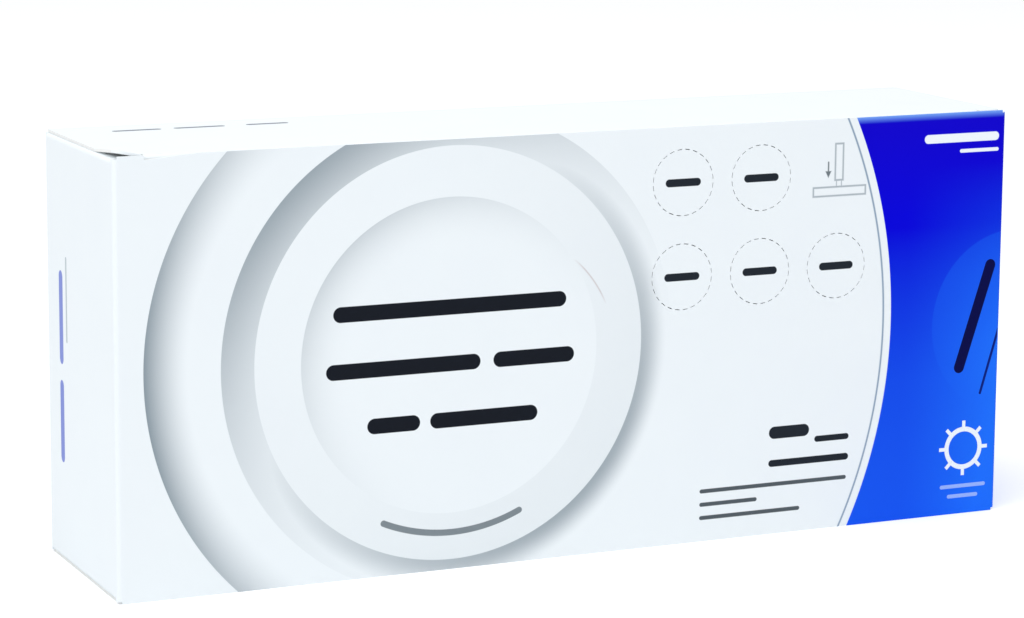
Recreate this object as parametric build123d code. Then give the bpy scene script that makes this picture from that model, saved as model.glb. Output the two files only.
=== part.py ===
"""Folding carton of a five test lateral flow kit, shut, with its contents.

Millimetres, +Z up, origin in the middle of the base. The large printed panel faces -Y.
One folded sheet makes the four walls, the glue flap and the four dust flaps. The top
and bottom tuck lids are creased to the back panel and swing about that crease. Five
perforated discs in the front panel push out and hold the extraction tubes.
"""
import math
import os

from build123d import *

# Carton blank
carton_length = 182.0
carton_depth = 41.0
carton_height = 80.0
board = 0.5
fold_radius = 0.9  # outside radius of every crease

# Dust flaps, folded in from the end walls under each lid
dust_length = 32.0
dust_corner_relief = 1.2  # from the outside of the front or back panel
dust_taper = 2.4
dust_tip_radius = 4.0
dust_lock_length = 6.0  # full width part that stays under the lid's ear

# Glue flap of the right end wall, stuck inside the back panel
glue_width = 14.0
glue_end_inset = 4.0
glue_end_slant = 3.0
seam_width = 0.35

# Tuck lids
lid_side_inset = 0.5
tuck_depth = 13.0
tuck_gap = 0.3  # behind the front panel
swing_clearance = 0.2  # between the tuck flap's path and the front panel
dust_clearance = 0.4  # between the tuck flap's path and the dust flaps
tuck_taper = 1.5
tuck_tip_radius = 7.0
lock_slit = 0.4
lock_slit_depth = 1.4
ear_width = 5.1
ear_length = 11.0
ear_tip_radius = 2.2
left_ear_lift = 1.2  # the corner of the top lid's left ear stands this far proud

# Lead-in at the left end of the front panel's top edge, beside the lock slit
lead_in_depth = 0.8
lead_in_length = 10.0

# Push out discs in the front panel
disc_radius = 6.27
disc_pitch_x = 16.6
disc_pitch_z = 17.9
disc_right_margin = 37.5  # from the right edge to the last column of centres
disc_top_margin = 10.5  # from the top edge to the upper row of centres
disc_columns_by_row = (2, 3)  # from the top
slits_per_disc = 24
slit_share = 0.6  # of the pitch that is cut through
slit_width = 0.15

# Foil pouches, each with a cassette and a sachet sealed inside
pouch_count = 5
pouch_foil = 0.4  # both foils at the welded rim
pouch_corner = 2.0
pouch_seal = 8.0
pouch_end_slope = 7.0  # from the seal to the cassette's ends
pouch_side_slope = 11.5  # from the seal to the cassette's long sides
tear_notch = 1.5

# Leaflet, folded back and forth
leaflet_turns = 4
leaflet_sheet = 0.35
leaflet_pitch = 0.62
leaflet_length_margin = 2.0  # shorter than the pouches
leaflet_height_margin = 1.0

# Swab packs, each with one swab sealed inside
swab_pack_count = 5
swab_pack_stacks = 2
swab_pack_end_gap = 2.5  # to the end walls
swab_pack_thickness = 4.2
swab_film = 0.3  # both films at the welded rim
swab_stick_thickness = 2.6
swab_end_margin = 13.0  # from the pack's end to the swab's
swab_tip_length = 18.0
swab_film_spread = 3.0  # from the swab to where the films meet

# Extraction tubes with dropper caps, lying on their sides
tube_count = 5
tube_length = 56.0
tube_row = 3  # tubes side by side in the lower layer
tube_rim_step = 0.6
tube_wall = 1.0
tube_rim_length = 1.5
tube_cone_length = 7.0
tube_tip_radius = 2.2
cap_collar_length = 2.0
cap_plug_length = 5.0
cap_plug_wall = 0.9
cap_plug_clearance = 0.05
nozzle_length = 10.0
nozzle_root_radius = 3.4
nozzle_tip_radius = 1.7
nozzle_bore_radius = 0.7
tube_spacing = 0.1  # between the rims of neighbours

# Where the contents stand
packing_gap = 0.1
content_side_gap = 1.0
content_front_gap = 4.1  # behind the front panel, clear of both tuck flaps
content_back_gap = 1.2
tube_side_gap = 3.0  # between the pouches and the tubes' tips
cap_side_gap = 9.0  # between the caps and the right end wall
stack_top_gap = 3.9  # between the swab packs and the dust flaps
layer_gap = 0.2

# Places that follow from the sizes above
half_length = carton_length / 2
half_depth = carton_depth / 2
inner_front = -half_depth + board
inner_back = half_depth - board
hinge_y = inner_back
tuck_front = inner_front + tuck_gap
lid_half_length = half_length - lid_side_inset
ear_inner_x = lid_half_length - ear_width
tuck_half_length = ear_inner_x - lock_slit
dust_top = carton_height - board
floor_top = 2 * board
content_front = inner_front + content_front_gap
content_back = inner_back - content_back_gap
content_depth = content_back - content_front
content_left = -half_length + board + content_side_gap
content_right = half_length - board - cap_side_gap

# Sizes of the contents, which fill the carton
tube_rim_radius = ((content_depth + tube_spacing) / tube_row - tube_spacing) / 2
tube_radius = tube_rim_radius - tube_rim_step
tube_x = content_right - tube_length - cap_collar_length - nozzle_length
swab_pack_length = carton_length - 2 * (board + swab_pack_end_gap)
swab_pack_width = (content_depth + packing_gap) / swab_pack_stacks - packing_gap
swab_layers = math.ceil(swab_pack_count / swab_pack_stacks)
swab_stack = swab_layers * (swab_pack_thickness + packing_gap)
swab_bottom = dust_top - board - stack_top_gap - swab_stack
pouch_length = tube_x - tube_side_gap - content_left
pouch_height = swab_bottom - layer_gap - floor_top
leaflet_thickness = leaflet_sheet + (leaflet_turns - 1) * leaflet_pitch
pouch_pitch = (content_depth - leaflet_thickness) / pouch_count
pouch_thickness = pouch_pitch - packing_gap


def tuck_profile_points():
    """Tip, tangent direction and fold centre of the tuck flap in the YZ plane."""
    swing = hinge_y - inner_front - swing_clearance
    tip = Vector(hinge_y - math.sqrt(swing**2 - tuck_depth**2), carton_height - tuck_depth)
    centre = Vector(tuck_front + fold_radius, carton_height - fold_radius)
    to_tip = tip - centre
    toward_tip = math.atan2(to_tip.Y, to_tip.X)
    tangent_angle = toward_tip - math.acos(fold_radius / to_tip.length)
    outward = Vector(math.cos(tangent_angle), math.sin(tangent_angle))
    return tip, outward, centre


def tuck_inner_reach():
    """Nearest that the swinging tuck flap comes to the hinge line."""
    tip, outward, _ = tuck_profile_points()
    inner_tip = tip - outward * board
    return abs((Vector(hinge_y, carton_height) - inner_tip).dot(outward))


def plate(points, low, high):
    """A flat plate with the outline of points, between two heights."""
    return Pos(0, 0, low) * extrude(make_face(Polyline(*points, close=True)), high - low)


def on_both_ends(shape):
    return [shape, mirror(shape, Plane.YZ)]


def on_top_and_bottom(shape):
    return [shape, mirror(shape, Plane.XY.offset(carton_height / 2))]


def wall_ring():
    """The four walls, the end walls one board lower than the others at both lids."""
    outer = RectangleRounded(carton_length, carton_depth, fold_radius)
    inner = RectangleRounded(
        carton_length - 2 * board, carton_depth - 2 * board, fold_radius - board
    )
    ring = extrude(outer - inner, carton_height)
    corner_cut = Pos(half_length, 0, carton_height) * Box(
        2 * fold_radius, carton_depth, 2 * board
    )
    fold_cut = Pos(half_length, 0, dust_top) * Box(
        2 * (fold_radius + board),
        carton_depth - 2 * dust_corner_relief,
        2 * fold_radius,
    )
    cuts = []
    for cut in (corner_cut, fold_cut):
        for end_cut in on_both_ends(cut):
            cuts += on_top_and_bottom(end_cut)
    return ring - cuts


def dust_flap():
    """Right hand top dust flap with its fold."""
    fold_section = (Circle(fold_radius) - Circle(fold_radius - board)) & (
        Pos(fold_radius / 2, fold_radius / 2) * Rectangle(fold_radius, fold_radius)
    )
    shoulder = half_depth - dust_corner_relief
    fold_x = half_length - fold_radius
    fold = Pos(fold_x, 0, dust_top - fold_radius) * extrude(
        Plane.XZ * fold_section, shoulder, both=True
    )
    lock_x = half_length - dust_lock_length
    tip_x = half_length - dust_length
    clear_front = hinge_y - (tuck_inner_reach() - dust_clearance)
    points = [
        (fold_x, -shoulder),
        (lock_x, -shoulder),
        (lock_x, clear_front),
        (tip_x, clear_front + dust_taper),
        (tip_x, shoulder - dust_taper),
        (lock_x, shoulder),
        (fold_x, shoulder),
    ]
    outline = make_face(Polyline(*points, close=True))
    tip_corners = outline.vertices().sort_by(Axis.X)[:2]
    outline = fillet(tip_corners, dust_tip_radius)
    return fold + Pos(0, 0, dust_top - board) * extrude(outline, board)


def glue_flap():
    """Second layer inside the back panel, running out of the right end wall."""
    right = half_length - board
    left = right - glue_width
    low = glue_end_inset
    high = carton_height - glue_end_inset
    outline = Plane.XZ * make_face(
        Polyline(
            (right, low),
            (right, high),
            (left, high - glue_end_slant),
            (left, low + glue_end_slant),
            close=True,
        )
    )
    return Pos(0, inner_back, 0) * extrude(outline, board)


def seam_cut():
    """Raw edge of the back panel, just short of the right end wall."""
    return Pos(half_length, half_depth, carton_height / 2) * Box(
        2 * seam_width, 2 * board, carton_height
    )


def lead_in_cut():
    """Lower stretch of the front panel's top edge beside the left lock slit."""
    start = lock_slit / 2 - ear_inner_x
    outline = Plane.XZ * make_face(
        Polyline(
            (start, carton_height + board),
            (start, carton_height - lead_in_depth),
            (start + lead_in_length, carton_height),
            (start + lead_in_length, carton_height + board),
            close=True,
        )
    )
    return Pos(0, -half_depth, 0) * extrude(outline, 2 * board, both=True)


def disc_centres():
    first_x = half_length - disc_right_margin - (max(disc_columns_by_row) - 1) * disc_pitch_x
    centres = []
    for row, columns in enumerate(disc_columns_by_row):
        z = carton_height - disc_top_margin - row * disc_pitch_z
        for column in range(columns):
            centres.append((first_x + column * disc_pitch_x, z))
    return centres


def perforations():
    """All slits of the push out discs, through the front panel."""
    pitch = 2 * math.pi * disc_radius / slits_per_disc
    slit = Pos(disc_radius, 0, 0) * Box(slit_width, pitch * slit_share, 4 * board)
    cuts = []
    for x, z in disc_centres():
        disc = Plane.XZ.offset(-inner_front) * Pos(x, z)
        for index in range(slits_per_disc):
            cuts.append(disc * Rot(0, 0, (index + 0.5) * 360 / slits_per_disc) * slit)
    return cuts


def carton_body():
    flaps = []
    for flap in on_both_ends(dust_flap()):
        flaps += on_top_and_bottom(flap)
    body = wall_ring() + flaps + glue_flap()
    return body - [seam_cut(), lead_in_cut(), *perforations()]


def tuck_sheet():
    """Lid panel between the lock slits, its front fold and the tuck flap."""
    tip, outward, centre = tuck_profile_points()
    inner_radius = fold_radius - board
    top_angle = 90
    fold_end = math.degrees(math.atan2(outward.Y, outward.X)) % 360
    turn = fold_end - top_angle
    outer_fold = CenterArc((centre.X, centre.Y), fold_radius, top_angle, turn)
    inner_fold = CenterArc((centre.X, centre.Y), inner_radius, top_angle, turn)
    inner_tip = tip - outward * board
    edges = [
        Line((hinge_y, carton_height), outer_fold @ 0),
        outer_fold,
        Line(outer_fold @ 1, (tip.X, tip.Y)),
        Line((tip.X, tip.Y), (inner_tip.X, inner_tip.Y)),
        Line((inner_tip.X, inner_tip.Y), inner_fold @ 1),
        inner_fold,
        Line(inner_fold @ 0, (hinge_y, dust_top)),
        Line((hinge_y, dust_top), (hinge_y, carton_height)),
    ]
    sheet = extrude(Plane.YZ * make_face(edges), tuck_half_length, both=True)
    return sheet & tuck_outline()


def tuck_outline():
    """Front view of the tuck flap: tapered sides and rounded lower corners."""
    tip_z = carton_height - tuck_depth - board
    taper_z = carton_height - fold_radius
    tip_half = tuck_half_length - tuck_taper
    points = [
        (-tuck_half_length, carton_height),
        (-tuck_half_length, taper_z),
        (-tip_half, tip_z),
        (tip_half, tip_z),
        (tuck_half_length, taper_z),
        (tuck_half_length, carton_height),
    ]
    outline = make_face(Polyline(*points, close=True))
    lower_corners = outline.vertices().sort_by(Axis.Y)[:2]
    outline = fillet(lower_corners, tuck_tip_radius)
    return extrude(Plane.XZ * outline, carton_depth, both=True)


def lid_side(ear_lift):
    """Right hand side of the lid panel, with its ear bent up by ear_lift."""
    overlap_x = tuck_half_length - board
    ear_back = tuck_front + ear_length
    slit_end = tuck_front + lock_slit_depth
    flat = plate(
        [
            (overlap_x, hinge_y),
            (lid_half_length, hinge_y),
            (lid_half_length, ear_back),
            (ear_inner_x, tuck_front),
            (ear_inner_x, slit_end),
            (overlap_x, slit_end),
        ],
        dust_top,
        carton_height,
    )
    corner = (lid_half_length, tuck_front)
    triangle = make_face(
        Polyline((lid_half_length, ear_back), (ear_inner_x, tuck_front), corner, close=True)
    )
    tip = triangle.vertices().sort_by_distance((*corner, 0))[0]
    ear = Pos(0, 0, dust_top) * extrude(fillet(tip, ear_tip_radius), board)
    bend_width = ear_width * ear_length / math.hypot(ear_width, ear_length)
    bend_axis = Axis((lid_half_length, ear_back, dust_top), (-ear_width, -ear_length, 0))
    return flat + ear.rotate(bend_axis, math.degrees(math.asin(ear_lift / bend_width)))


def tuck_lid(left_lift):
    """Whole lid with its left ear bent up by left_lift and its right ear flat."""
    return tuck_sheet() + [mirror(lid_side(left_lift), Plane.YZ), lid_side(0)]


def pillow(root_length, root_height, crown_length, crown_height, thickness):
    """Raised middle of a sealed pack, sloping from its root to a flat crown on both faces."""
    crown = Pos(0, 0, thickness / 2) * Rectangle(crown_length, crown_height)
    half = loft([Sketch() + Rectangle(root_length, root_height), Sketch() + crown])
    return half + mirror(half, Plane.XY)


def foil_pouch():
    """Pouch standing on its long edge, its middle plane at Y 0, its lower left at X 0, Z 0."""
    outline = RectangleRounded(pouch_length, pouch_height, pouch_corner)
    rim = extrude(outline, pouch_foil / 2, both=True)
    pack = rim + pillow(
        pouch_length - 2 * pouch_seal,
        pouch_height - 2 * pouch_seal,
        pouch_length - 2 * (pouch_seal + pouch_end_slope),
        pouch_height - 2 * (pouch_seal + pouch_side_slope),
        pouch_thickness,
    )
    notch_y = pouch_height / 2 - pouch_seal
    for side in (-1, 1):
        place = Pos(side * pouch_length / 2, notch_y, 0) * Rot(0, 0, 45)
        pack -= place * Box(tear_notch, tear_notch, 2 * pouch_foil)
    return Pos(pouch_length / 2, 0, pouch_height / 2) * Rot(90, 0, 0) * pack


def leaflet():
    """Sheet folded back and forth on upright folds, its lower front left at the origin."""
    turn_radius = leaflet_pitch / 2
    outer = turn_radius + leaflet_sheet / 2
    inner = turn_radius - leaflet_sheet / 2
    length = pouch_length - leaflet_length_margin
    run = length - 2 * outer
    middle = length / 2
    section = Sketch()
    for turn in range(leaflet_turns):
        y = leaflet_sheet / 2 + turn * leaflet_pitch
        section += Pos(middle, y) * Rectangle(run, leaflet_sheet)
        if turn < leaflet_turns - 1:
            side = 1 if turn % 2 == 0 else -1
            half = Pos(side * outer / 2, 0) * Rectangle(outer, 2 * outer)
            fold = (Circle(outer) - Circle(inner)) & half
            section += Pos(middle + side * run / 2, y + turn_radius) * fold
    return extrude(section, pouch_height - leaflet_height_margin)


def swab_pack():
    """Pack lying flat along X, its middle at X 0, Y 0 and its lowest point at Z 0."""
    film = Box(swab_pack_length, swab_pack_width, swab_film)
    spread = 2 * swab_film_spread
    stick_length = swab_pack_length - 2 * swab_end_margin
    stick = pillow(
        stick_length + spread,
        swab_stick_thickness + spread,
        stick_length,
        swab_stick_thickness / 2,
        swab_stick_thickness,
    )
    tip_x = (stick_length - swab_tip_length) / 2
    tip = Pos(tip_x, 0, 0) * pillow(
        swab_tip_length + spread,
        swab_pack_thickness + spread,
        swab_tip_length,
        swab_pack_thickness / 2,
        swab_pack_thickness,
    )
    return Pos(0, 0, swab_pack_thickness / 2) * (film + stick + tip)


def extraction_tube():
    """Tube along X from its tip at X 0 to its mouth."""
    rim_start = tube_length - tube_rim_length
    bore = tube_radius - tube_wall
    outline = Polyline(
        (0, 0),
        (0, tube_tip_radius),
        (tube_cone_length, tube_radius),
        (rim_start, tube_radius),
        (rim_start, tube_rim_radius),
        (tube_length, tube_rim_radius),
        (tube_length, bore),
        (tube_cone_length, bore),
        (tube_wall, tube_tip_radius - tube_wall / 2),
        (tube_wall, 0),
        close=True,
    )
    return revolve(make_face(outline), Axis.X)


def dropper_cap():
    """Cap along X, its collar seated on the mouth of a tube that starts at X 0."""
    plug_radius = tube_radius - tube_wall - cap_plug_clearance
    plug_start = tube_length - cap_plug_length
    collar_end = tube_length + cap_collar_length
    nozzle_end = collar_end + nozzle_length
    outline = Polyline(
        (plug_start, plug_radius - cap_plug_wall),
        (plug_start, plug_radius),
        (tube_length, plug_radius),
        (tube_length, tube_rim_radius),
        (collar_end, tube_rim_radius),
        (collar_end, nozzle_root_radius),
        (nozzle_end, nozzle_tip_radius),
        (nozzle_end, nozzle_bore_radius),
        (tube_length, nozzle_bore_radius),
        (tube_length, plug_radius - cap_plug_wall),
        close=True,
    )
    return revolve(make_face(outline), Axis.X)


def tube_places():
    """Y and Z of the tube axes: a row side by side and the others nested on it."""
    pitch = 2 * tube_rim_radius + tube_spacing
    first_y = content_front + tube_rim_radius
    first_z = floor_top + tube_rim_radius
    rise = pitch * math.sqrt(3) / 2
    places = []
    for index in range(tube_count):
        layer, step = divmod(index, tube_row)
        places.append((first_y + (step + layer / 2) * pitch, first_z + layer * rise))
    return places


def swab_pack_places():
    """Y and Z of the swab packs: stacks over the pouches."""
    places = []
    for index in range(swab_pack_count):
        layer, stack = divmod(index, swab_pack_stacks)
        y = content_front + swab_pack_width / 2 + stack * (swab_pack_width + packing_gap)
        places.append((y, swab_bottom + layer * (swab_pack_thickness + packing_gap)))
    return places


def contents():
    """Everything that the carton holds, by node name."""
    parts = {}
    pouch = foil_pouch()
    for index in range(pouch_count):
        y = content_front + pouch_thickness / 2 + index * pouch_pitch
        parts[f"foil_pouch_{index + 1}"] = Pos(content_left, y, floor_top) * pouch
    leaflet_y = content_front + pouch_count * pouch_pitch
    parts["leaflet"] = Pos(content_left, leaflet_y, floor_top) * leaflet()
    pack = swab_pack()
    for index, (y, z) in enumerate(swab_pack_places()):
        parts[f"swab_pack_{index + 1}"] = Pos(0, y, z) * pack
    tube = extraction_tube()
    cap = dropper_cap()
    for index, (y, z) in enumerate(tube_places()):
        parts[f"extraction_tube_{index + 1}"] = Pos(tube_x, y, z) * tube
        parts[f"dropper_cap_{index + 1}"] = Pos(tube_x, y, z) * cap
    return parts


def carton():
    """The folded carton, by node name."""
    return {
        "carton_body": carton_body(),
        "top_lid": tuck_lid(left_ear_lift),
        "bottom_lid": mirror(tuck_lid(0), Plane.XY.offset(carton_height / 2)),
    }


os.makedirs("parts", exist_ok=True)
for name, shape in {**carton(), **contents()}.items():
    export_step(shape, f"parts/{name}.step")
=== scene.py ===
"""Looks of the folding carton of a test kit and of what it holds.

Lengths are in millimetres and become metres where they meet Blender. The print is laid
out in millimetres from the lower left corner of the front panel, in the materials.
"""
import math

import bmesh
import bpy
from mathutils import Matrix, Vector, noise


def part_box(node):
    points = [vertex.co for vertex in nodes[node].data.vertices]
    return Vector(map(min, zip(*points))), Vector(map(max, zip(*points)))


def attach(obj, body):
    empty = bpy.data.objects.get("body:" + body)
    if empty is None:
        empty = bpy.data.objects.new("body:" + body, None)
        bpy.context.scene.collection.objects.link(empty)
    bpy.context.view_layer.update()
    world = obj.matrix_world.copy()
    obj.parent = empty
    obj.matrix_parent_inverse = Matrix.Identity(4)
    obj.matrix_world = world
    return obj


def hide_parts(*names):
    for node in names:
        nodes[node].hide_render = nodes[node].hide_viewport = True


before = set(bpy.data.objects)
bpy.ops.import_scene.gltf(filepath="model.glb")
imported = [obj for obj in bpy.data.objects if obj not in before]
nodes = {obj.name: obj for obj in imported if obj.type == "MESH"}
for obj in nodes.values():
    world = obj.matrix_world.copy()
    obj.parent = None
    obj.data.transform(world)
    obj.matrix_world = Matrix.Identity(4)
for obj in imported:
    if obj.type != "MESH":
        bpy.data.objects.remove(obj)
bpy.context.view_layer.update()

mm = 0.001

# Carton
carton_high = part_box("carton_body")[1] / mm
half_length = carton_high.x
half_depth = carton_high.y
carton_height = carton_high.z
board = 0.5
fold_radius = 0.9

# Large printed disc and the arcs round it
disc_u, disc_v, disc_radius = 64.4, 40.4, 38.5
inner_u, inner_v, inner_radius = 64.2, 40.1, 29.4
halo_radius = 44.8
outer_u, outer_v, outer_radius = 61.6, 40.8, 56.4
outer_shade_width = 8.3
drop_shade_width = 5.6
inner_shade_width = 9.4

# Blue field, left of which a thin line runs
field_u, field_v, field_radius = 61.2, 40.3, 95.8
rule_radius = 94.1
rule_width = 0.38
light_u, light_v, light_radius = 184.7, 38.0, 18.3

# Bars on the discs that push out, from the middle of the first disc
push_u, push_v, push_pitch_u, push_pitch_v = 111.3, 69.5, 16.6, 17.9
push_columns = (2, 3)
push_bar_half, push_bar_height = 3.7, 1.5

# Bars in the places of words: left end, right end, height of the middle and, where they
# differ from each other, width
title_places = [
    (41.0, 87.3, 49.2),
    (39.6, 70.0, 38.7),
    (72.6, 89.0, 38.7),
    (47.6, 58.0, 28.2),
    (60.0, 81.6, 28.2),
]
title_height = 2.9
note_places = [(115.8, 147.8, 9.8), (115.8, 128.2, 7.2), (115.8, 137.6, 4.6)]
note_height = 0.8
label_places = [
    (130.6, 139.4, 19.9, 2.4),
    (140.6, 148.2, 17.9, 1.2),
    (130.6, 148.2, 13.9, 1.35),
]
white_places = [(163.6, 180.4, 75.0, 1.7), (171.6, 180.4, 72.4, 0.7)]
pale_places = [(169.2, 179.6, 5.6, 0.75), (170.9, 177.9, 3.6, 0.75)]
dark_start, dark_end, dark_width = (179.3, 49.5), (172.8, 29.5), 2.3
thin_start, thin_end, thin_width = (181.6, 36.6), (177.8, 24.0), 0.55
curved_bar_radius, curved_bar_half_length, curved_bar_half_line = 33.4, 14.0, 0.6
end_bar_y, end_bar_height = 11.6, 2.3
end_bar_spans = [(19.0, 34.5), (37.5, 55.0)]
end_line_y, end_line_height = 8.2, 0.8
end_line_span = (42.0, 58.0)
lid_bar_y, lid_bar_height = 12.6, 1.5
lid_bar_spans = [(-80.5, -71.0), (-68.6, -58.6), (-54.4, -46.0)]

# Thin streak on the large disc: painted shade of a faint crease in the board, drawn as a darker
# arc
streak_u, streak_v, streak_radius, streak_line = 73.5, 38.0, 24.0, 0.22

# Tube symbol
symbol_line = 0.34
tube_left, tube_right, tube_low, tube_top = 143.9, 145.6, 68.2, 75.2
spout_inset, spout_low, spout_line = 0.3, 66.9, 0.2
plate_left, plate_right, plate_low = 139.2, 150.6, 65.2
arrow_u, arrow_tip, arrow_neck, arrow_top, arrow_line = 142.4, 68.7, 70.0, 71.7, 0.3

# Ring with ticks
tick_u, tick_v, tick_count = 174.3, 13.2, 8
tick_ring_radius, tick_ring_line = 3.8, 0.95
tick_middle, tick_half_length, tick_half_width = 4.8, 0.7, 0.36

# Foil pouches
pouch_rim = 0.2
pouch_corner = 2.0
pouch_seal = 8.0
pouch_end_slope = 7.0
pouch_side_slope = 11.5
tear_notch = 1.1
crease_size, crease_depth = 7.0, 1.0
dent_size, dent_depth = 15.0, 0.4
pouch_sway_size, pouch_sway = 26, 1.3

# Swab packs
swab_film = 0.15
swab_end_margin = 13.0
swab_tip_length = 18.0
swab_film_spread = 3.0
stick_rise = 1.15
swab_lead = 3
stick_slope = 4
tip_slope = 5
wrinkle_size, wrinkle_depth = 4.5, 0.16
pack_sway = 0.9
pack_rows = 32
pack_tooth = 0.5
pack_crimp = 8.0
band_start, band_end = 3.0, 9.2

# Extraction tubes and dropper caps
tube_rim_step = 0.6
tube_wall = 1.0
tube_cone = 7.0
tube_marks = (16.0, 23.0, 30.0)
mark_half, mark_rise = 0.3, 0.16
tube_segments = 72
cap_clearance = 0.05
cap_plug_wall = 0.9
cap_collar = 2.0
nozzle_length = 10.0
rib_depth = 0.22
rib_count = 30
cap_segments = 120

# Light, in watts for the lamps
world_strength = 0.665
floor_glow = 0.27
top_lamp_watts = 11.2
left_lamp_watts = 2.6

# Camera, fitted to the photograph, with its place in millimetres and angles in degrees
camera_lens = 115.5
camera_shift_x, camera_shift_y = 0.0605, -0.077
camera_place = (-262.1, -560.2, 158.5)
camera_turn, camera_dip, camera_roll = -23.52, 9.18, 0.24


def linear(red, green, blue):
    """Scene linear colour of an eight bit screen colour."""
    parts = []
    for part in (red, green, blue):
        share = part / 255
        parts.append(share / 12.92 if share <= 0.04045 else ((share + 0.055) / 1.055) ** 2.4)
    return (*parts, 1.0)


class Term:
    """A number in a node tree. Sums of terms add the nodes that work them out."""

    def __init__(self, tree, socket):
        self.tree = tree
        self.socket = socket

    def __add__(self, other):
        return self.tree.math("ADD", self, other)

    def __sub__(self, other):
        return self.tree.math("SUBTRACT", self, other)

    def __rsub__(self, other):
        return self.tree.math("SUBTRACT", other, self)

    def __mul__(self, other):
        return self.tree.math("MULTIPLY", self, other)

    def __truediv__(self, other):
        return self.tree.math("DIVIDE", self, other)

    def __pow__(self, other):
        return self.tree.math("POWER", self, other)

    def __abs__(self):
        return self.tree.math("ABSOLUTE", self)

    def least(self, other):
        return self.tree.math("MINIMUM", self, other)

    def most(self, other):
        return self.tree.math("MAXIMUM", self, other)

    def above(self, other):
        return self.tree.math("GREATER_THAN", self, other)

    def ramp(self, low, high, soft=False):
        """0 at low and 1 at high, straight or eased between them."""
        node = self.tree.node("ShaderNodeMapRange")
        node.interpolation_type = "SMOOTHSTEP" if soft else "LINEAR"
        self.tree.put(self, node.inputs["Value"])
        node.inputs["From Min"].default_value = low
        node.inputs["From Max"].default_value = high
        return Term(self.tree, node.outputs["Result"])


class Tree:
    """A material whose nodes are built from terms."""

    def __init__(self, name, **constants):
        self.material = bpy.data.materials.new(name)
        self.material.use_nodes = True
        self.shader = self.material.node_tree.nodes["Principled BSDF"]
        for socket, value in constants.items():
            self.shader.inputs[socket.replace("_", " ")].default_value = value
        coordinates = self.node("ShaderNodeTexCoord")
        self.place = coordinates.outputs["Object"]
        self.x, self.y, self.z = [part * (1 / mm) for part in self.split(self.place)]
        self.nx, self.ny, self.nz = self.split(coordinates.outputs["Normal"])

    def node(self, kind):
        return self.material.node_tree.nodes.new(kind)

    def put(self, value, socket):
        if isinstance(value, Term):
            value = value.socket
        if isinstance(value, bpy.types.NodeSocket):
            self.material.node_tree.links.new(value, socket)
        else:
            socket.default_value = value

    def split(self, vector):
        node = self.node("ShaderNodeSeparateXYZ")
        self.put(vector, node.inputs["Vector"])
        return [Term(self, output) for output in node.outputs]

    def math(self, operation, *values):
        node = self.node("ShaderNodeMath")
        node.operation = operation
        for value, socket in zip(values, node.inputs):
            self.put(value, socket)
        return Term(self, node.outputs["Value"])

    def length(self, u, v):
        return self.math("SQRT", u * u + v * v)

    def mix(self, under, over, share):
        """Colour that goes from under to over as share goes from 0 to 1."""
        node = self.node("ShaderNodeMix")
        node.data_type = "RGBA"
        colours = [socket for socket in node.inputs if socket.type == "RGBA"]
        self.put(share, node.inputs[0])
        self.put(under, colours[0])
        self.put(over, colours[1])
        return [socket for socket in node.outputs if socket.type == "RGBA"][0]

    def noise(self, size, detail=2.0, stretch=(1, 1, 1), roughness=0.5):
        """Noise from 0 to 1 with features of about that size in millimetres."""
        place = self.node("ShaderNodeMapping")
        place.inputs["Scale"].default_value = stretch
        self.put(self.place, place.inputs["Vector"])
        node = self.node("ShaderNodeTexNoise")
        node.inputs["Scale"].default_value = 1 / (size * mm)
        node.inputs["Detail"].default_value = detail
        node.inputs["Roughness"].default_value = roughness
        self.put(place.outputs["Vector"], node.inputs["Vector"])
        return Term(self, node.outputs["Fac"])

    def bump(self, height, distance, strength=1.0, after=None):
        """Bump of a height from 0 to 1, distance millimetres deep."""
        node = self.node("ShaderNodeBump")
        node.inputs["Distance"].default_value = distance * mm
        node.inputs["Strength"].default_value = strength
        self.put(height, node.inputs["Height"])
        if after is not None:
            self.put(after, node.inputs["Normal"])
        return node.outputs["Normal"]

    def finish(self, **links):
        for socket, value in links.items():
            self.put(value, self.shader.inputs[socket.replace("_", " ")])
        return self.material


def ink(distance, edge=0.06):
    """Cover of a printed shape from the distance to its outline, negative inside."""
    return distance.ramp(edge, -edge, soft=True)


def bar(tree, u, v, left, right, middle, height):
    """Distance to a lying bar with round ends."""
    half = height / 2
    along = (abs(u - (left + right) / 2) - ((right - left) / 2 - half)).most(0.0)
    return tree.length(along, v - middle) - half


def slanted_bar(tree, u, v, start, end, height):
    """Distance to a bar with round ends between two points."""
    run = Vector(end) - Vector(start)
    across = run.normalized()
    along_u = (u - start[0]) * across.x + (v - start[1]) * across.y
    along_v = (v - start[1]) * across.x - (u - start[0]) * across.y
    return bar(tree, along_u, along_v, -height / 2, run.length + height / 2, 0.0, height)


def frame_line(tree, u, v, left, right, bottom, top, line):
    """Distance to the outline of a rectangle, drawn line wide."""
    inside_u = abs(u - (left + right) / 2) - (right - left) / 2
    inside_v = abs(v - (bottom + top) / 2) - (top - bottom) / 2
    return abs(inside_u.most(inside_v)) - line / 2


def ring(radius_here, radius, line):
    return abs(radius_here - radius) - line / 2


def together(shapes):
    """Distance to the nearest of several shapes."""
    nearest = shapes[0]
    for shape in shapes[1:]:
        nearest = nearest.least(shape)
    return nearest


def toward(tree, u, v, radius_here, angle, power):
    """1 in the direction of angle from the centre, 0 opposite to it."""
    direction = math.radians(angle)
    cosine = (u * math.cos(direction) + v * math.sin(direction)) / radius_here.most(1.0)
    return (cosine * 0.5 + 0.5) ** power


def even(amount):
    """Turns an amount that looks even to the eye into an amount of ink."""
    return amount * (1.22 - amount * 0.22)


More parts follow.
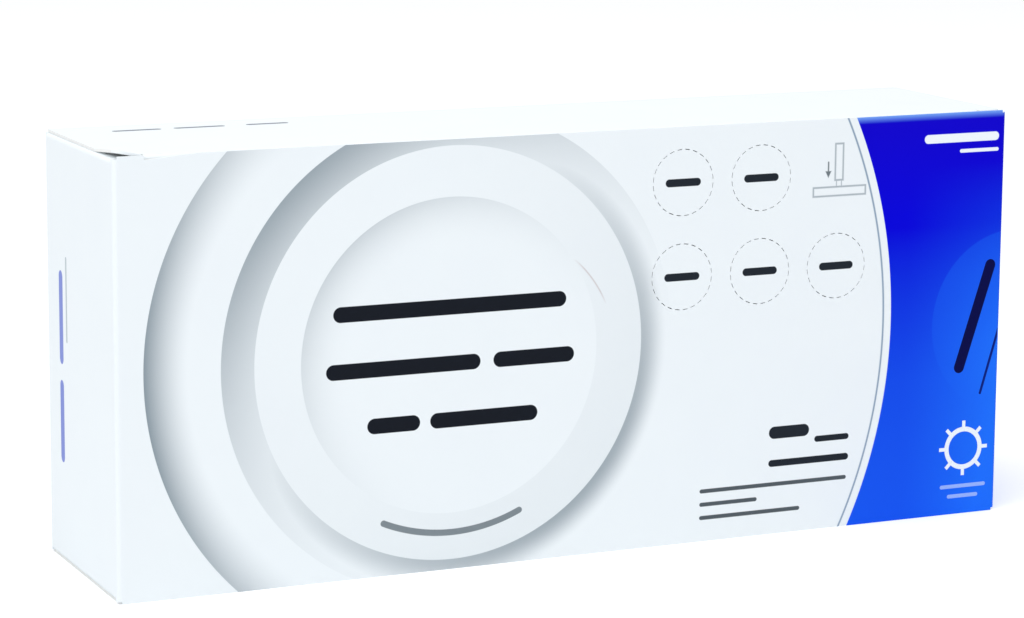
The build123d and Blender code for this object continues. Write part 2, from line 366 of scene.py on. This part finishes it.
def disc_shading(tree, u, v):
    """Grey shading of the large disc and of the two arcs round it, 0 to 1."""
    du, dv = u - disc_u, v - disc_v
    radius = tree.length(du, dv)
    radius_inner = tree.length(u - inner_u, v - inner_v)
    radius_outer = tree.length(u - outer_u, v - outer_v)

    outer_rise = radius_outer.ramp(outer_radius - outer_shade_width, outer_radius) ** 1.5
    left_side = toward(tree, u - outer_u, v - outer_v, radius_outer, 185, 4.5)
    outer = outer_rise * ink(radius_outer - outer_radius) * left_side
    halo_rise = radius.ramp(disc_radius, halo_radius) * 0.45 + 0.5
    halo = halo_rise * ink(radius - halo_radius) * toward(tree, du, dv, radius, 132, 2.8) * 0.9
    drop = radius.ramp(disc_radius + drop_shade_width, disc_radius, soft=True)
    drop = drop * toward(tree, du, dv, radius, -46, 1.5) * 0.8
    around = outer + halo.most(drop)

    inner_rise = radius_inner.ramp(inner_radius - inner_shade_width, inner_radius) ** 2.2
    hollow = inner_rise * toward(tree, du, dv, radius, 137, 2.4) * 0.38
    tone = toward(tree, du, dv, radius, -48, 1.0) * radius.ramp(0, disc_radius) * 0.09
    on_disc = tree.math("MULTIPLY_ADD", hollow - tone, ink(radius_inner - inner_radius), tone)
    inside = ink(radius - disc_radius)
    return even(around + (on_disc - around) * inside)


def title_bars(tree, u, v):
    """Plain bars in the places of the large words."""
    return together([bar(tree, u, v, *place, title_height) for place in title_places])


def small_bars(tree, u, v):
    """Plain bars in the places of the short words and figures."""
    shapes = []
    for row, columns in enumerate(push_columns):
        for column in range(columns):
            middle = push_u + column * push_pitch_u
            height = push_v - row * push_pitch_v
            ends = (middle - push_bar_half, middle + push_bar_half)
            shapes.append(bar(tree, u, v, *ends, height, push_bar_height))
    shapes += [bar(tree, u, v, *place) for place in label_places]
    return together(shapes)


def note_bars(tree, u, v):
    """Fine grey bars in the places of the small lines of text."""
    return together([bar(tree, u, v, *place, note_height) for place in note_places])


def curved_bar(tree, u, v):
    """Grey bar that follows the disc's lower edge."""
    du, dv = u - disc_u, v - disc_v
    reach = tree.math("ARCTAN2", du, dv * -1.0) * curved_bar_radius
    along = (abs(reach) - curved_bar_half_length).most(0.0)
    return tree.length(along, tree.length(du, dv) - curved_bar_radius) - curved_bar_half_line


def tube_symbol(tree, u, v):
    """A tube over a plate, as two outlines with a spout between them."""
    spout_left = tube_left + spout_inset
    spout_right = tube_right - spout_inset
    shapes = [
        frame_line(tree, u, v, tube_left, tube_right, tube_low, tube_top, symbol_line),
        frame_line(tree, u, v, spout_left, spout_right, spout_low, tube_low, spout_line),
        frame_line(tree, u, v, plate_left, plate_right, plate_low, spout_low, symbol_line),
    ]
    return together(shapes)


def arrow(tree, u, v):
    """Small arrow beside the tube symbol that points down."""
    head = (abs(u - arrow_u) - (v - arrow_tip) * 0.5).most(v - arrow_neck)
    start = (arrow_u, arrow_neck - 0.4)
    return head.least(slanted_bar(tree, u, v, start, (arrow_u, arrow_top), arrow_line))


def tick_ring(tree, u, v):
    """Ring with short ticks round it."""
    du, dv = u - tick_u, v - tick_v
    radius = tree.length(du, dv)
    angle = tree.math("ARCTAN2", dv, du) + 2 * math.pi
    fold = tree.math("PINGPONG", angle, math.pi / tick_count)
    across = tree.math("SINE", fold) * radius
    tick = (across - tick_half_width).most(abs(radius - tick_middle) - tick_half_length)
    return ring(radius, tick_ring_radius, tick_ring_line).least(tick)


def field_colour(tree, u, v):
    """Blue that brightens downwards and to the right, with a lighter disc at its edge and a
    painted highlight along its top fold.
    """
    deep = tree.mix(linear(14, 0, 203), linear(2, 0, 216), v.ramp(78, 60))
    downwards = v.ramp(58, 28) * 0.44 + v.ramp(28, 0) * 0.18
    sideways = u.ramp(160, 182) ** 1.3 * v.ramp(70, 34) * 0.55
    light = ink(tree.length(u - light_u, v - light_v) - light_radius, 0.15)
    share = (downwards + sideways + light * v.ramp(22, 48) * 0.2).least(1.0)
    blue = tree.mix(deep, linear(30, 112, 250), share)
    # Painted highlight: lighter blue along the top fold, where the rounded crease meets the top
    # light.
    edge = v.ramp(carton_height - 1.4, carton_height) ** 1.3
    return tree.mix(blue, linear(120, 168, 248), edge)


def field_marks(tree, u, v, colour):
    """White and dark marks on the blue field."""
    white = together([bar(tree, u, v, *place) for place in white_places])
    white = white.least(tick_ring(tree, u, v))
    pale = together([bar(tree, u, v, *place) for place in pale_places])
    dark = slanted_bar(tree, u, v, dark_start, dark_end, dark_width)
    line = slanted_bar(tree, u, v, thin_start, thin_end, thin_width)
    colour = tree.mix(colour, linear(5, 8, 70), ink(dark))
    colour = tree.mix(colour, linear(10, 30, 120), ink(line))
    colour = tree.mix(colour, linear(240, 246, 252), ink(white))
    return tree.mix(colour, linear(170, 195, 250), ink(pale) * 0.8)


def front_print(tree, paper):
    """Colour of the front panel."""
    u, v = tree.x + half_length, tree.z
    colour = tree.mix(paper, linear(138, 151, 160), disc_shading(tree, u, v))
    # Painted shade of a faint crease in the board: a thin darker arc on the large disc.
    streak_here = tree.length(u - streak_u, v - streak_v)
    crease_shade = ink(ring(streak_here, streak_radius, streak_line), 0.15) * u.above(disc_u)
    crease_shade = crease_shade * v.ramp(47.5, 50) * v.ramp(56.5, 54.5)
    colour = tree.mix(colour, linear(176, 150, 150), crease_shade * 0.55)
    colour = tree.mix(colour, linear(24, 28, 36), ink(title_bars(tree, u, v)))
    colour = tree.mix(colour, linear(34, 40, 48), ink(small_bars(tree, u, v)))
    colour = tree.mix(colour, linear(84, 92, 98), ink(note_bars(tree, u, v)))
    colour = tree.mix(colour, linear(128, 138, 144), ink(curved_bar(tree, u, v)))
    colour = tree.mix(colour, linear(170, 180, 187), ink(tube_symbol(tree, u, v), 0.12))
    colour = tree.mix(colour, linear(112, 122, 128), ink(arrow(tree, u, v), 0.12))
    field_here = tree.length(u - field_u, v - field_v)
    rule = ink(ring(field_here, rule_radius, rule_width), 0.12)
    colour = tree.mix(colour, linear(140, 160, 182), rule)
    marked = field_marks(tree, u, v, field_colour(tree, u, v))
    return tree.mix(colour, marked, ink(field_radius - field_here))


def end_print(tree, paper):
    """Colour of the left end wall: pale blue bars that run upwards."""
    u, v = tree.z, tree.y
    bars = together([bar(tree, u, v, *span, end_bar_y, end_bar_height) for span in end_bar_spans])
    line = bar(tree, u, v, *end_line_span, end_line_y, end_line_height)
    colour = tree.mix(paper, linear(92, 112, 205), ink(bars) * 0.85)
    return tree.mix(colour, linear(170, 182, 190), ink(line) * 0.8)


def board_relief(tree, coated):
    """Slight waves of the board, fine grain of the coating and fibres of the inside."""
    waves = tree.bump(tree.noise(34.0, 1.0), 0.35, 0.5)
    grain = tree.bump(tree.noise(0.9, 3.0), 0.012, 0.5, after=waves)
    fibres = tree.noise(0.35, 4.0, stretch=(0.35, 1, 1)) * (1.0 - coated)
    return tree.bump(fibres, 0.03, 0.6, after=grain)


def board_finish(tree, printed, coated):
    """Printed and varnished outside, plain off-white inside."""
    bare = tree.mix(linear(243, 244, 243), linear(232, 234, 232), tree.noise(1.6, 4.0))
    gloss = coated * -0.37 + tree.noise(7.0) * 0.08
    return tree.finish(
        Base_Color=tree.mix(bare, printed, coated),
        Roughness=gloss + 0.76,
        Normal=board_relief(tree, coated),
    )


def paper_white(tree):
    """Coated white with a slight unevenness."""
    return tree.mix(linear(239, 245, 248), linear(236, 242, 246), tree.noise(14.0, 3.0))


def body_board():
    """Board of the walls: the print is only on its outside."""
    tree = Tree("printed_board", Specular_IOR_Level=0.04)
    flap_level = carton_height / 2 - board
    corner_x = (abs(tree.x) - (half_length - fold_radius)).most(0.0)
    corner_y = (abs(tree.y) - (half_depth - fold_radius)).most(0.0)
    corner_z = (abs(tree.z - carton_height / 2) - (flap_level - fold_radius)).most(0.0)
    skin = tree.length(corner_x, corner_y).above(fold_radius - board / 4)
    flap = tree.length(corner_x, corner_z).above(fold_radius - board / 4)

    paper = paper_white(tree)
    front = (tree.ny * -1.0).above(0.7) * skin
    left = (tree.nx * -1.0).above(0.7) * skin
    right = tree.x.above(half_length - fold_radius * 0.6) * skin
    colour = tree.mix(paper, end_print(tree, paper), left)
    colour = tree.mix(colour, front_print(tree, paper), front)
    side = field_colour(tree, tree.x * 0.0 + 2 * half_length, tree.z)
    colour = tree.mix(colour, side, right)
    return board_finish(tree, colour, skin.most(flap))


def lid_board():
    """Board of the tuck lids: white outside, with a row of plain bars on the top."""
    tree = Tree("lid_board", Specular_IOR_Level=0.04)
    is_top = tree.z.above(carton_height / 2)
    sideways = tree.ny * (tree.y.above(0.0) * 2.0 - 1.0)
    coated = (tree.nz * (is_top * 2.0 - 1.0) + sideways).above(0.4)
    words = together(
        [
            bar(tree, tree.x, tree.y, *span, lid_bar_y, lid_bar_height)
            for span in lid_bar_spans
        ]
    )
    on_top = is_top * tree.nz.above(0.7)
    colour = tree.mix(paper_white(tree), linear(120, 128, 140), ink(words) * on_top)
    return board_finish(tree, colour, coated)


def foil():
    """Satin silver laminate with fine creases and crimped seals."""
    tree = Tree("foil_laminate", Metallic=0.9)
    tone = tree.mix(linear(172, 177, 183), linear(200, 204, 208), tree.noise(9.0, 3.0))
    low, high = [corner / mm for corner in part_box("foil_pouch_1")]
    rim_x = (tree.x - low.x).least(high.x - tree.x)
    rim_z = (tree.z - low.z).least(high.z - tree.z)
    seal = rim_x.least(rim_z).ramp(pouch_seal - 0.4, pouch_seal - 0.8)
    crimp = tree.math("SINE", (tree.x + tree.z) * 4.2) * 0.5 + 0.5
    folds = 1.0 - (abs(tree.noise(7.0, 3.0, roughness=0.6) - 0.5) * 7.0).least(1.0)
    creases = tree.bump(folds, 0.35, 0.7, after=tree.bump(tree.noise(16.0), 1.2, 0.6))
    return tree.finish(
        Base_Color=tone,
        Roughness=tree.noise(3.0, 3.0) * 0.14 + 0.2,
        Normal=tree.bump(crimp * seal, 0.12, 0.8, after=creases),
    )


def peel_pack(node):
    """Clear film over medical paper, with the swab seen through it and a blue end band."""
    tree = Tree(f"peel_pack_{node}")
    paper = tree.mix(linear(222, 231, 240), linear(208, 219, 231), tree.noise(0.8, 4.0))
    low, high = [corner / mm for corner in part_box(node)]
    middle = (low.y + high.y) / 2
    start = low.x + swab_end_margin
    end = high.x - swab_end_margin
    stick = bar(tree, tree.x, tree.y, start, end, middle, 2 * stick_rise)
    tip = bar(tree, tree.x, tree.y, end - swab_tip_length, end, middle, 4.2)
    colour = tree.mix(paper, linear(247, 249, 250), ink(stick, 0.25))
    fluff = tree.mix(linear(252, 252, 250), linear(232, 233, 232), tree.noise(0.5, 3.0))
    colour = tree.mix(colour, fluff, ink(tip, 0.3))
    from_end = tree.x - low.x
    band = from_end.ramp(band_end, band_end - 0.4) * from_end.ramp(band_start, band_start + 0.4)
    colour = tree.mix(colour, linear(62, 118, 206), band * 0.9)
    rim = (tree.x - low.x).least(high.x - tree.x)
    crimp = tree.math("SINE", tree.x * 5.2) * 0.5 + 0.5
    creases = tree.bump(tree.noise(6.0, 3.0, stretch=(0.4, 1, 1)), 0.3, 0.5)
    return tree.finish(
        Base_Color=colour,
        Roughness=tree.noise(4.0) * 0.2 + 0.24,
        Normal=tree.bump(crimp * rim.ramp(pack_crimp, pack_crimp - 0.4), 0.1, 0.7, after=creases),
    )


def leaflet_paper():
    """Thin paper with rows of fine grey bars."""
    tree = Tree("leaflet_paper", Roughness=0.82)
    paper = tree.mix(linear(240, 240, 236), linear(230, 230, 225), tree.noise(0.6, 4.0))
    row = tree.math("PINGPONG", tree.z, 0.8).ramp(0.42, 0.5)
    word = tree.noise(2.6, 1.0, stretch=(1, 1, 0.02)).ramp(0.42, 0.46)
    column = tree.math("PINGPONG", tree.x, 12.0).ramp(1.0, 1.2)
    page = abs(tree.ny).above(0.7) * tree.z.ramp(4.0, 4.2) * tree.z.ramp(57.0, 56.8)
    text = row * word * column * page
    return tree.finish(
        Base_Color=tree.mix(paper, linear(120, 124, 130), text * 0.7),
        Normal=tree.bump(tree.noise(0.4, 4.0), 0.02, 0.5),
    )


def tube_plastic():
    """Soft translucent tube."""
    tree = Tree("tube_plastic", IOR=1.5, Subsurface_Weight=0.35, Subsurface_Scale=0.002)
    tone = tree.mix(linear(226, 234, 239), linear(215, 225, 232), tree.noise(8.0))
    return tree.finish(
        Base_Color=tone,
        Roughness=tree.noise(2.0) * 0.1 + 0.24,
        Normal=tree.bump(tree.noise(3.0), 0.05, 0.4),
    )


def cap_plastic():
    """Moulded cap, glossier than the tube."""
    tree = Tree("cap_plastic", IOR=1.5, Subsurface_Weight=0.2, Subsurface_Scale=0.001)
    tone = tree.mix(linear(242, 245, 247), linear(234, 238, 242), tree.noise(5.0))
    return tree.finish(
        Base_Color=tone,
        Roughness=tree.noise(1.5) * 0.1 + 0.22,
        Normal=tree.bump(tree.noise(1.2), 0.02, 0.4),
    )


def dress(names, material):
    """Gives carried over CAD nodes their material."""
    for name in names:
        for slot in nodes[name].material_slots:
            slot.material = material


def ease(share):
    """0 to 1 with soft ends, held beyond them."""
    share = min(max(share, 0.0), 1.0)
    return share * share * (3 - 2 * share)


def ridges(x, y, size, seed):
    """Sharp edged folds from 0 to 1 with about that spacing."""
    first = noise.noise(Vector((x / size, y / size, seed)))
    second = noise.noise(Vector((y / size * 1.7, x / size * 1.7, seed + 9.1)))
    return 1 - min(abs(first) * 2.2 + abs(second) * 0.8, 1.0)


def piece(name, vertices, faces, material, node):
    """A smooth mesh from points in millimetres that stands for a node of the carton."""
    mesh = bpy.data.meshes.new(name)
    mesh.from_pydata([Vector(point) * mm for point in vertices], [], faces)
    build = bmesh.new()
    build.from_mesh(mesh)
    bmesh.ops.remove_doubles(build, verts=build.verts, dist=0.001 * mm)
    bmesh.ops.recalc_face_normals(build, faces=build.faces)
    for face in build.faces:
        face.smooth = True
    build.to_mesh(mesh)
    build.free()
    mesh.materials.append(material)
    shape = bpy.data.objects.new(name, mesh)
    bpy.context.scene.collection.objects.link(shape)
    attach(shape, "carton")
    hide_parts(node)
    return shape


def two_sided(columns, rows, point):
    """Vertices and faces of two facing grids joined round their border."""
    steps = [(i / columns, j / rows) for j in range(rows + 1) for i in range(columns + 1)]
    vertices = [point(u, v, side) for side in (-1, 1) for u, v in steps]
    row = columns + 1
    layer = row * (rows + 1)
    faces = []
    for j in range(rows):
        for i in range(columns):
            first = j * row + i
            quad = (first, first + 1, first + 1 + row, first + row)
            faces.append(quad)
            faces.append(tuple(index + layer for index in quad))
    border = list(range(columns)) + [j * row + columns for j in range(rows)]
    border += [rows * row + i for i in range(columns, 0, -1)]
    border += [j * row for j in range(rows, 0, -1)]
    for first, second in zip(border, border[1:] + border[:1]):
        faces.append((first, second, second + layer, first + layer))
    return vertices, faces


def foil_pouch(index, material):
    """Pouch swollen by its cassette, with creased slopes and a slightly wavy rim."""
    node = f"foil_pouch_{index}"
    low, high = [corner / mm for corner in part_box(node)]
    middle = (low + high) / 2
    crown = (high.y - low.y) / 2 - pouch_rim
    seed = index * 3.7

    def point(u, v, side):
        z = low.z + v * (high.z - low.z)
        rim_z = min(z - low.z, high.z - z)
        drop = max(pouch_corner - rim_z, 0)
        inset = pouch_corner - math.sqrt(pouch_corner**2 - drop**2)
        if u in (0, 1):
            inset += max(tear_notch - abs(high.z - pouch_seal - z), 0)
        x = low.x + inset + u * (high.x - low.x - 2 * inset)
        rim_x = min(x - low.x, high.x - x)
        lift_x = ease((rim_x - pouch_seal) / pouch_end_slope)
        lift = lift_x * ease((rim_z - pouch_seal) / pouch_side_slope)
        slope = 4 * lift * (1 - lift)
        creases = ridges(x, z, crease_size, seed + side) * crease_depth * slope
        dents = ridges(x, z, dent_size, seed + 5 * side) * dent_depth * lift
        half = pouch_rim + max(crown * lift - creases - dents, 0)
        place = Vector((x / pouch_sway_size, z / pouch_sway_size, seed))
        sway = noise.noise(place) * pouch_sway * (1 - lift)
        return (x, middle.y + sway + side * half, z)

    vertices, faces = two_sided(100, 61, point)
    piece(f"crinkled_pouch_{index}", vertices, faces, material, node)


def swab_pack(index, material):
    """Flat pack whose films follow the swab's stick and tip."""
    node = f"swab_pack_{index}"
    low, high = [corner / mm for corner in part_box(node)]
    middle = (low + high) / 2
    tip_rise = (high.z - low.z) / 2 - swab_film
    stick_start = low.x + swab_end_margin
    stick_end = high.x - swab_end_margin
    tip_start = stick_end - swab_tip_length
    seed = index * 5.3

    def point(u, v, side):
        y = low.y + v * (high.y - low.y)
        tooth = abs((v * pack_rows) % 4 - 2) / 2 * pack_tooth
        x = low.x + tooth + u * (high.x - low.x - 2 * tooth)
        ends = ease((x - stick_start + swab_lead) / stick_slope)
        ends *= ease((stick_end + swab_lead - x) / stick_slope)
        tip = ease((x - tip_start + swab_lead) / tip_slope)
        rise = (stick_rise + (tip_rise - stick_rise) * tip) * ends
        width = rise + swab_film_spread
        lift = ease(1 - abs(y - middle.y) / width)
        flat = 1 - lift * ends
        wrinkle = ridges(x * 0.5, y, wrinkle_size, seed + side) * wrinkle_depth * ends * flat
        half = swab_film + rise * lift + wrinkle
        sway = noise.noise(Vector((x / 30, y / 12, seed))) * pack_sway * flat
        return (x, y, middle.z + sway + side * half)

    vertices, faces = two_sided(176, pack_rows, point)
    piece(f"peel_pack_{index}", vertices, faces, material, node)


def turned(node, profile, segments, ribs=(0, 0, 0)):
    """Vertices and faces of a profile of length and radius turned about a lying axis.

    ribs gives how many ridges run along a stretch of the profile and where it is."""
    low, high = [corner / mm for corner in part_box(node)]
    middle = (low + high) / 2
    count, first, last = ribs
    vertices = []
    for step in range(segments):
        angle = 2 * math.pi * step / segments
        for place, (x, radius) in enumerate(profile):
            if count and first <= place <= last:
                radius -= rib_depth * (0.5 - 0.5 * math.cos(count * angle))
            y = middle.y + radius * math.cos(angle)
            vertices.append((low.x + x, y, middle.z + radius * math.sin(angle)))
    faces = []
    points = len(profile)
    for step in range(segments):
        here = step * points
        there = (step + 1) % segments * points
        for place in range(points - 1):
            quad = (here + place, here + place + 1, there + place + 1, there + place)
            faces.append(quad)
    return vertices, faces


def tube(index, material):
    """Soft tube with a rolled rim, fill marks and a round tip."""
    node = f"extraction_tube_{index}"
    low, high = [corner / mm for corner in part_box(node)]
    length = high.x - low.x
    rim = (high.y - low.y) / 2
    body = rim - tube_rim_step
    bore = body - tube_wall
    profile = [(0.0, 0.0), (0.05, 1.2), (0.35, 1.9), (0.9, 2.4)]
    profile += [(tube_cone - 0.4, body - 0.25), (tube_cone + 0.2, body - 0.06)]
    profile += [(tube_cone + 1.0, body)]
    for mark in tube_marks:
        profile += [(mark - mark_half, body), (mark, body + mark_rise), (mark + mark_half, body)]
    profile += [(length - 2.1, body), (length - 1.7, body + 0.1)]
    profile += [(length - 1.45, rim - 0.2), (length - 1.2, rim), (length - 0.3, rim)]
    profile += [(length, rim - 0.3), (length, bore + 0.2), (length - 0.2, bore)]
    profile += [(tube_cone, bore), (1.6, 1.8), (1.1, 1.3), (1.0, 0.0)]
    vertices, faces = turned(node, profile, tube_segments)
    piece(f"soft_tube_{index}", vertices, faces, material, node)


def cap(index, material):
    """Dropper cap: plug, ribbed collar and tapered nozzle with a bore."""
    node = f"dropper_cap_{index}"
    low, high = [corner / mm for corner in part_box(node)]
    length = high.x - low.x
    rim = (high.y - low.y) / 2
    plug = rim - tube_rim_step - tube_wall - cap_clearance
    hollow = plug - cap_plug_wall
    collar = length - nozzle_length - cap_collar
    shoulder = length - nozzle_length
    profile = [(0.1, hollow), (0.0, hollow + 0.2), (0.0, plug - 0.3), (0.4, plug)]
    profile += [(collar, plug), (collar, rim - 0.2), (collar + 0.2, rim)]
    profile += [(shoulder - 0.3, rim), (shoulder, rim - 0.3), (shoulder, 3.7)]
    profile += [(shoulder + 0.3, 3.4), (length - 0.5, 1.85), (length - 0.1, 1.6)]
    profile += [(length, 1.3), (length, 0.8), (length - 0.2, 0.7), (collar, 0.7)]
    profile += [(collar - 0.4, 1.1), (collar - 0.7, hollow), (0.1, hollow)]
    first_rib = profile.index((collar + 0.2, rim))
    ribs = (rib_count, first_rib, first_rib + 1)
    vertices, faces = turned(node, profile, cap_segments, ribs)
    piece(f"ribbed_cap_{index}", vertices, faces, material, node)


def sees(tree, *rays):
    """Socket that is 1 for the named kinds of ray and 0 for the rest."""
    path = tree.nodes.new("ShaderNodeLightPath")
    seen = path.outputs[rays[0]]
    for ray in rays[1:]:
        either = tree.nodes.new("ShaderNodeMath")
        either.operation = "MAXIMUM"
        tree.links.new(seen, either.inputs[0])
        tree.links.new(path.outputs[ray], either.inputs[1])
        seen = either.outputs["Value"]
    return seen


def add_floor():
    """Plain pale floor that shows white where no shadow falls."""
    size = 8.0
    mesh = bpy.data.meshes.new("floor")
    corners = [(-size, -size, 0), (size, -size, 0), (size, size, 0), (-size, size, 0)]
    mesh.from_pydata(corners, [], [(0, 1, 2, 3)])
    material = bpy.data.materials.new("floor_white")
    material.use_nodes = True
    tree = material.node_tree
    shader = tree.nodes["Principled BSDF"]
    shader.inputs["Base Color"].default_value = (0.89, 0.9, 0.91, 1)
    shader.inputs["Roughness"].default_value = 0.9
    shader.inputs["Specular IOR Level"].default_value = 0.1
    lift = tree.nodes.new("ShaderNodeMath")
    lift.operation = "MULTIPLY"
    tree.links.new(sees(tree, "Is Camera Ray", "Is Glossy Ray"), lift.inputs[0])
    lift.inputs[1].default_value = floor_glow
    shader.inputs["Emission Color"].default_value = (1, 1, 1, 1)
    tree.links.new(lift.outputs["Value"], shader.inputs["Emission Strength"])
    mesh.materials.append(material)
    floor = bpy.data.objects.new("floor", mesh)
    bpy.context.scene.collection.objects.link(floor)


def add_world():
    """White to the camera, softer light on the object."""
    world = bpy.data.worlds.new("studio")
    bpy.context.scene.world = world
    world.use_nodes = True
    tree = world.node_tree
    soft = tree.nodes["Background"]
    soft.inputs["Color"].default_value = (0.985, 0.99, 1.0, 1)
    soft.inputs["Strength"].default_value = world_strength
    white = tree.nodes.new("ShaderNodeBackground")
    white.inputs["Color"].default_value = (1, 1, 1, 1)
    blend = tree.nodes.new("ShaderNodeMixShader")
    seen = sees(tree, "Is Camera Ray", "Is Glossy Ray", "Is Transmission Ray")
    tree.links.new(seen, blend.inputs[0])
    tree.links.new(soft.outputs["Background"], blend.inputs[1])
    tree.links.new(white.outputs["Background"], blend.inputs[2])
    tree.links.new(blend.outputs["Shader"], tree.nodes["World Output"].inputs["Surface"])


def add_lamp(name, place, size, watts):
    """Square soft lamp that points at the carton's middle."""
    data = bpy.data.lights.new(name, "AREA")
    data.size = size
    data.energy = watts
    lamp = bpy.data.objects.new(name, data)
    lamp.location = place
    aim = Vector((0, 0, 0.04)) - lamp.location
    lamp.rotation_euler = aim.to_track_quat("-Z", "Y").to_euler()
    bpy.context.scene.collection.objects.link(lamp)


def add_camera():
    """The photograph's view: a long lens from the front left, a little above."""
    data = bpy.data.cameras.new("camera")
    data.sensor_width = 36.0
    data.lens = camera_lens
    data.shift_x = camera_shift_x
    data.shift_y = camera_shift_y
    data.clip_start = 0.01
    camera = bpy.data.objects.new("camera", data)
    camera.location = Vector(camera_place) * mm
    turn = Matrix.Rotation(math.radians(camera_turn), 3, "Z")
    tilt = Matrix.Rotation(math.radians(90 - camera_dip), 3, "X")
    roll = Matrix.Rotation(math.radians(camera_roll), 3, "Z")
    camera.rotation_euler = (turn @ tilt @ roll).to_euler()
    bpy.context.scene.collection.objects.link(camera)
    bpy.context.scene.camera = camera


bpy.context.scene.view_settings.view_transform = "Standard"
add_floor()
add_world()
add_lamp("lamp_top", (-0.35, -0.5, 1.3), 1.2, top_lamp_watts)
add_lamp("lamp_left", (-1.45, -0.3, 0.75), 1.0, left_lamp_watts)
add_camera()

dress(["carton_body"], body_board())
dress(["top_lid", "bottom_lid"], lid_board())
dress(["leaflet"], leaflet_paper())
silver = foil()
soft_plastic = tube_plastic()
hard_plastic = cap_plastic()
for number in range(1, 6):
    foil_pouch(number, silver)
    swab_pack(number, peel_pack(f"swab_pack_{number}"))
    tube(number, soft_plastic)
    cap(number, hard_plastic)
